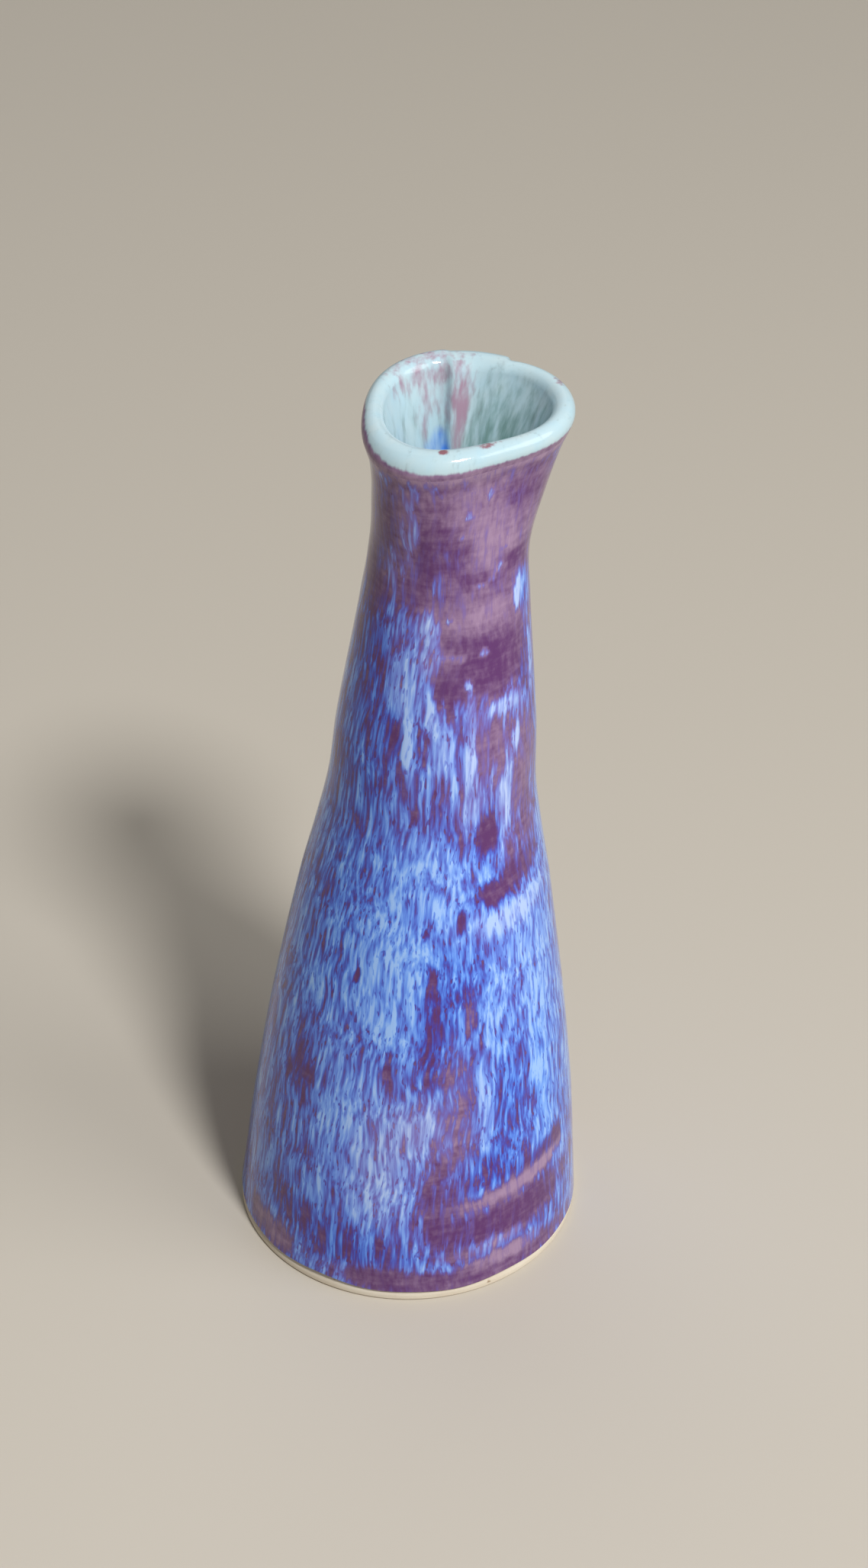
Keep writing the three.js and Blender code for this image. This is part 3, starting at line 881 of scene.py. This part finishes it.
@dataclass(frozen=True)
class BareStoneware:
    """Unglazed white stoneware: cream, dry and faintly grainy, with a few pale tan specks."""

    clay: str = "#e6dfd0"
    toasted: str = "#cdbda4"
    speck: str = "#a08a70"
    grain_mm: float = 0.35
    speck_mm: float = 1.6
    toast_mm: float = 9.0
    relief_mm: float = 0.06
    roughness: float = 0.82

    def material(self) -> bpy.types.Material:
        """Builds the finish from Object coordinates.

        Returns:
            The material.
        """
        made, tree, shader = blank_material("bare_white_stoneware", Slot.CLAY)
        place = wire(tree, "ShaderNodeTexCoord", "Object", {})

        def noise(every_mm: float, detail: float) -> bpy.types.NodeSocket:
            """Cloudy noise with cells of a real size."""
            cells = {"Vector": place, "Scale": 1.0 / (every_mm * MM), "Detail": detail}
            return wire(tree, "ShaderNodeTexNoise", "Fac", cells)

        grain = noise(self.grain_mm, 4.0)
        warm = {0: noise(self.toast_mm, 2.0), 6: linear(self.clay), 7: linear(self.toasted)}
        clay = wire(tree, "ShaderNodeMix", 2, warm, data_type="RGBA")
        ends = {"Value": noise(self.speck_mm, 2.0), "From Min": 0.7, "From Max": 0.76}
        dots = wire(tree, "ShaderNodeMapRange", 0, ends)
        specked = {0: dots, 6: clay, 7: linear(self.speck)}
        colour = wire(tree, "ShaderNodeMix", 2, specked, data_type="RGBA")
        tree.links.new(colour, shader.inputs["Base Color"])
        bump = {"Height": grain, "Strength": 0.5, "Distance": self.relief_mm * MM}
        tree.links.new(wire(tree, "ShaderNodeBump", 0, bump), shader.inputs["Normal"])
        shader.inputs["Roughness"].default_value = self.roughness
        return made


# --- The five pieces ----------------------------------------------------------------------------


@dataclass(frozen=True)
class FloorSlab:
    """The flat clay disc that closes the tube, its edge bare along the foot."""

    form: HandForm
    arris: float = 0.35
    bare_depth: float = 0.1  # how far the bare edge lies below the coat above it
    bare_heights: tuple[float, ...] = (0.7, 0.9)
    coated_heights: tuple[float, ...] = (1.5, 2.8)
    columns: int = 256

    def build(self) -> bpy.types.Object:
        """Underside from the axis out, round the wiped arris, up the edge and back over the top.

        Returns:
            The disc.
        """
        edge = float(self.form.outer_face(np.array([0.0]))[0][0]) - self.bare_depth
        turn = np.linspace(-0.5 * math.pi, 0.0, 7)
        under = points(list(np.linspace(0.0, edge - self.arris, 12)), [0.0] * 12, 0.0)
        out, up = self.arris * (np.cos(turn) - 1), self.arris * (1 + np.sin(turn))
        arris = Section(edge + out, up, np.zeros(7))
        heights = np.array([*self.bare_heights, *self.coated_heights, self.form.floor])
        side = self.form.wall(heights, self.form.to_clay)
        side = Section(side.r, heights, side.inside)
        side.r[: len(self.bare_heights)] += self.form.to_clay - self.bare_depth
        over = points(list(np.linspace(side.r[-1] - 0.2, 0.0, 10)), [self.form.floor] * 10, 0.0)
        return loft("floor_disc", self.form.place(under.then(arris, side, over), self.columns), False, {})

    def dress(self, piece: bpy.types.Object, clay: bpy.types.Material) -> None:
        """Bare clay for the floor slab."""
        settle(piece, "floor_slab", clay)


@dataclass(frozen=True)
class WallSlab:
    """The rolled and lapped clay wall, hidden between its two coats."""

    form: HandForm
    columns: int = 192
    rows: int = 90

    def build(self) -> bpy.types.Object:
        """Outer face up, over the lip, inner face down, and a flat base on the floor slab.

        Returns:
            The wall.
        """
        base, depth = self.form.floor + self.form.clearance, self.form.to_clay
        outer = self.form.wall(np.linspace(base, self.form.top, self.rows), depth)
        down = np.linspace(self.form.top, self.form.coil_top, self.rows)
        inner = self.form.wall(down, self.form.slab - depth)
        foot = self.form.wall(base, self.form.slab - depth)
        outer.z[0] = foot.z[0] = base
        section = outer.then(self.form.lip(depth, 12), inner, foot)
        return loft("rolled_wall", self.form.place(section, self.columns), True, {})

    def dress(self, piece: bpy.types.Object, clay: bpy.types.Material) -> None:
        """Bare clay for the wall slab."""
        settle(piece, "wall_slab", clay)


@dataclass(frozen=True)
class SealingCoil:
    """The coil of clay pressed into the corner between wall and floor."""

    form: HandForm
    columns: int = 160

    def build(self) -> bpy.types.Object:
        """The corner, up the wall, and down the hollow curve to a toe on the floor slab.

        Returns:
            The coil.
        """
        form = self.form
        base, backed = form.floor + form.clearance, form.slab - form.to_clay + form.clearance
        curve = form.bottom(form.to_clay, 10, 1)
        corner, top = form.wall(base, backed), form.wall(form.coil_top, backed)
        corner.z[0] = base
        toe = points([curve.r[9]], [base], 1.0)
        face = Section(curve.r[:9], curve.z[:9], curve.inside[:9])
        return loft("pressed_coil", form.place(corner.then(top, face, toe), self.columns), True, {})

    def dress(self, piece: bpy.types.Object, clay: bpy.types.Material) -> None:
        """Bare clay for the coil."""
        settle(piece, "sealing_coil", clay)


@dataclass(frozen=True)
class OuterGlaze:
    """The plum and blue coat outside, from a wavy line above the foot to the turn of the lip."""

    form: HandForm
    foot_line: float = 1.3
    foot_wave: float = 0.28
    # Share of the wave's height, and count round the foot.
    foot_waves: tuple[tuple[float, int], ...] = ((1.0, 1), (0.6, 5), (0.4, 11))
    foot_high_at: float = 240.0
    foot_fade: float = 4.0  # mm above the line where the wave dies out
    heavy_mm: float = 0.12
    soft: float = 0.45
    columns: int = 288
    rows: int = 220
    back_rows: int = 24
    strokes: list[Stroke] = field(default_factory=lambda: [WHOLE_WALL, *BACK_STROKES, *FRONT_STROKES])

    def build(self) -> bpy.types.Object:
        """The glossy face up the wall, thicker where the blue is heavy, and the back against the clay.

        Returns:
            The coat.
        """
        form = self.form
        top = form.liner_edge
        heights = np.linspace(self.foot_line, top, self.rows)
        heights[1], heights[-2] = self.foot_line + EDGE, top - EDGE
        face = form.wall(heights, 0.0)
        back = form.wall(np.linspace(top, self.foot_line, self.back_rows), form.glaze)
        section = face.then(back)
        layers = layers_of(self.strokes, section, self.columns, self.soft)
        on_face = np.zeros((len(section.z), 1))
        on_face[2 : self.rows - 2] = 1.0
        relief = on_face * self.heavy_mm * (np.clip(layers[..., 0], 0.0, 1.0) - 0.5)
        degrees = np.arange(self.columns)[None, :] * 360.0 / self.columns
        low = 1.0 - smoothstep(section.z[:, None], self.foot_line, self.foot_line + self.foot_fade)
        wave = sum(
            share * np.cos(np.radians(count * (degrees - self.foot_high_at)))
            for share, count in self.foot_waves
        )
        rings = form.place(section, self.columns, relief)
        rings[..., 2] += low * wave * self.foot_wave * MM
        flow = flow_lines(section, self.columns)
        return loft("glossy_coat", rings, True, {"flow": flow, "layers": layers})

    def dress(self, piece: bpy.types.Object, glaze: bpy.types.Material) -> None:
        """The streaked glaze for the outer coat."""
        settle(piece, "outer_glaze", glaze)


@dataclass(frozen=True)
class LinerGlaze:
    """The pale coat over the lip, down the throat and across the cavity's floor."""

    form: HandForm
    columns: int = 240
    lip_rows: int = 28
    rows: int = 130
    back_rows: int = 30
    lap: tuple[float, float] = (0.1, 0.28)  # share of the lip's arc under plum: all round, and extra
    lap_at: float = 185.0
    lap_width: float = 38.0
    lap_fade: float = 0.08
    ridge_mm: float = 0.5
    ridge_at: float = 90.0
    ridge_width: float = 10.0
    ridge_from: float = 92.0
    ridge_rise: float = 8.0  # mm above ridge_from where it is full
    soft: float = 0.4
    # Place, half-widths and slant as above; then the blue pool, mauve and rust that show on the inner face.
    inside_strokes: tuple[Stroke, ...] = (
        Stroke(98, 116, 2.6, 4.0, 0, (0.0, 0.4, 0.0)),
        Stroke(90, 111, 1.1, 9, 5, (0.0, 0.75, 0.0)),
        Stroke(113, 113, 0.8, 6, 0, (0.0, 0.5, 0.0)),
        Stroke(104, 109.2, 1.8, 3.8, 0, (0.55, 0.0, 0.0)),
        Stroke(98, 107.4, 0.5, 2.6, 0, (1.2, 0.0, 0.0)),
        Stroke(116, 118.6, 4.5, 1.3, 0, (0.0, 0.5, 0.0)),
    )
    # The same, with the place over the lip's arc in mm instead of the height.
    lip_strokes: tuple[Stroke, ...] = (
        Stroke(260, 3.45, 0.65, 0.5, 0, (0.0, 0.0, 0.9)),
        Stroke(292, 3.5, 1.7, 0.6, 0, (0.0, 0.4, 0.65)),
        Stroke(24, 2.6, 0.7, 1.2, 0, (0.0, 0.5, 0.5)),
        Stroke(112, 3.4, 5.0, 1.4, 0, (0.0, 0.45, 0.0)),
    )
    # The grey down the throat is partly thin glaze and partly painted shade.
    shade: tuple[float, float] = (0.25, 0.75)  # grey tint down the throat: all round, and extra
    shade_at: float = 30.0
    shade_width: float = 50.0
    shade_depths: tuple[float, float] = (-6.0, 11.0)  # mm below the lip's turn, at no grey and at full grey

    def coat(self, depth: float, lip_rows: int, rows: int) -> Section:
        """The coat's section, from its edge outside to the axis on the cavity's floor.

        Args:
            depth: how far below the finished face, in mm.
            lip_rows: steps over the lip.
            rows: points down the inner face.

        Returns:
            The line from the edge to the axis.
        """
        form = self.form
        edge = form.wall([form.liner_edge, form.liner_edge + EDGE], depth)
        inner = form.wall(np.linspace(form.top, form.coil_top, rows)[1:], form.slab - depth)
        return edge.then(form.lip(depth, lip_rows), inner, form.bottom(depth, 10, 8))

    def build(self) -> bpy.types.Object:
        """The back against the clay from the axis out, then the glossy face back to the axis.

        Returns:
            The coat.
        """
        back = self.coat(self.form.glaze, 8, self.back_rows).back()
        section = back.then(self.coat(0.0, self.lip_rows, self.rows))
        inside = layers_of(list(self.inside_strokes), section, self.columns, self.soft)
        over_lip = Section(section.r, section.inside * math.pi * self.form.slab / 2, section.inside)
        lip = layers_of(list(self.lip_strokes), over_lip, self.columns, self.soft)
        layers = np.where(section.inside[:, None, None] > 0.75, inside, lip)
        flow = flow_lines(section, self.columns)
        degrees = np.arange(self.columns)[None, :] * 360.0 / self.columns
        inside, z = section.inside[:, None], section.z[:, None]
        ridge = self.ridge_mm * np.exp(-((turn_to(degrees, self.ridge_at) / self.ridge_width) ** 2))
        ridge = ridge * smoothstep(inside, 0.6, 1.0)
        ridge = ridge * smoothstep(z, self.ridge_from, self.ridge_from + self.ridge_rise)
        # Plum from the outer coat laps up the lip, furthest on the left.
        left = np.exp(-((turn_to(degrees, self.lap_at) / self.lap_width) ** 2))
        reach = self.lap[0] + self.lap[1] * left
        plum = 1.0 - smoothstep(inside, reach - self.lap_fade, reach + self.lap_fade)
        # Tinted grey down the throat, most on the right: partly thin glaze there, partly painted shade.
        right = np.exp(-((turn_to(degrees, self.shade_at) / self.shade_width) ** 2))
        grey = (self.shade[0] + self.shade[1] * right) * smoothstep(inside, 0.7, 1.0)
        shade = grey * smoothstep(self.form.top - z, *self.shade_depths)
        rings = self.form.place(section, self.columns, ridge)
        grids = {"flow": flow, "layers": layers, "plum": plum, "shade": shade}
        return loft("liner_coat", rings, False, grids)

    def dress(self, piece: bpy.types.Object, glaze: bpy.types.Material) -> None:
        """The pale liner for the inner coat."""
        settle(piece, "liner_glaze", glaze)


# --- The studio ---------------------------------------------------------------------------------


@dataclass(frozen=True)
class Studio:
    """A plain pale floor, soft lights, and a camera that looks down at the front of the vase."""

    elevation: float = 37.0  # degrees below the horizontal that the camera looks
    roll: float = -0.44
    distance: float = 0.4202
    aim: tuple[float, float, float] = (0.0031, 0.0, 0.0667)
    lens: float = 78.8
    floor_colour: str = "#c6beb1"
    floor_half: float = 3.0
    sky_colour: str = "#e8e6e2"
    sky_strength: float = 0.17
    # Where each light comes from: degrees from the front towards the right, and above the floor.
    key_from: tuple[float, float] = (32.0, 54.0)
    fill_from: tuple[float, float] = (68.0, 30.0)
    back_from: tuple[float, float] = (200.0, 40.0)
    light_distance: float = 0.9
    key_power: float = 6.9
    key_size: float = 0.16
    fill_strength: float = 1.1
    fill_width: float = 40.0
    back_strength: float = 0.4
    back_width: float = 60.0

    def camera(self) -> None:
        """Places the camera on its line of sight to the middle of the vase."""
        data = bpy.data.cameras.new("camera")
        data.lens = self.lens
        camera = bpy.data.objects.new("camera", data)
        bpy.context.scene.collection.objects.link(camera)
        down = math.radians(self.elevation)
        sight = Vector((0.0, math.cos(down), -math.sin(down)))
        camera.location = Vector(self.aim) - sight * self.distance
        level = Euler((math.pi / 2 - down, 0.0, 0.0)).to_quaternion()
        camera.rotation_mode = "QUATERNION"
        camera.rotation_quaternion = level @ Euler((0.0, 0.0, math.radians(-self.roll))).to_quaternion()
        bpy.context.scene.camera = camera

    def floor(self) -> None:
        """A pale matt sheet, wide enough to reach past every view's lower half."""
        half = self.floor_half
        mesh = bpy.data.meshes.new("studio_floor")
        corners = [(-half, -half, 0), (half, -half, 0), (half, half, 0), (-half, half, 0)]
        mesh.from_pydata(corners, [], [(0, 1, 2, 3)])
        sheet = bpy.data.objects.new("studio_floor", mesh)
        bpy.context.scene.collection.objects.link(sheet)
        material = bpy.data.materials.new("matt_paper")
        material.use_nodes = True
        shader = material.node_tree.nodes["Principled BSDF"]
        shader.inputs["Base Color"].default_value = linear(self.floor_colour)
        shader.inputs["Roughness"].default_value = 0.9
        mesh.materials.append(material)

    def light(self, name: str, kind: str, source: tuple[float, float], energy: float) -> bpy.types.Light:
        """Aims a light at the vase.

        Args:
            name: the light's name.
            kind: AREA for a near lamp, SUN for a far one.
            source: degrees from the front towards the right, and above the floor.
            energy: watts for a near lamp, watts per square metre for a far one.

        Returns:
            The light, whose width is still to be set.
        """
        data = bpy.data.lights.new(name, kind)
        data.energy = energy
        lamp = bpy.data.objects.new(name, data)
        bpy.context.scene.collection.objects.link(lamp)
        a, e = (math.radians(angle) for angle in source)
        back = Vector((math.sin(a) * math.cos(e), -math.cos(a) * math.cos(e), math.sin(e)))
        lamp.location = Vector(self.aim) + back * self.light_distance
        lamp.rotation_mode = "QUATERNION"
        lamp.rotation_quaternion = (-back).to_track_quat("-Z", "Y")
        return data

    def build(self) -> None:
        """Camera, floor, lights and a soft grey sky."""
        self.camera()
        self.floor()
        key = self.light("key", "AREA", self.key_from, self.key_power)
        key.shape = "DISK"
        key.size = self.key_size
        fill = self.light("fill", "SUN", self.fill_from, self.fill_strength)
        fill.angle = math.radians(self.fill_width)
        back = self.light("back", "SUN", self.back_from, self.back_strength)
        back.angle = math.radians(self.back_width)
        world = bpy.data.worlds.new("soft_sky")
        world.use_nodes = True
        sky = world.node_tree.nodes["Background"]
        sky.inputs["Color"].default_value = linear(self.sky_colour)
        sky.inputs["Strength"].default_value = self.sky_strength
        bpy.context.scene.world = world
        bpy.context.scene.view_settings.view_transform = "Standard"
        log.info("studio ready")


def main() -> None:
    """Builds the studio, then the vase from the floor slab to the liner."""
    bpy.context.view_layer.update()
    Studio().build()
    form = HandForm()
    clay = BareStoneware().material()
    for part, finish in (
        (FloorSlab(form), clay),
        (WallSlab(form), clay),
        (SealingCoil(form), clay),
        (OuterGlaze(form), StreakedGlaze().material()),
        (LinerGlaze(form), PaleLiner().material()),
    ):
        part.dress(part.build(), finish)


if __name__ == "__main__":
    logging.basicConfig(level=logging.INFO, format="%(name)s %(message)s")
    main()
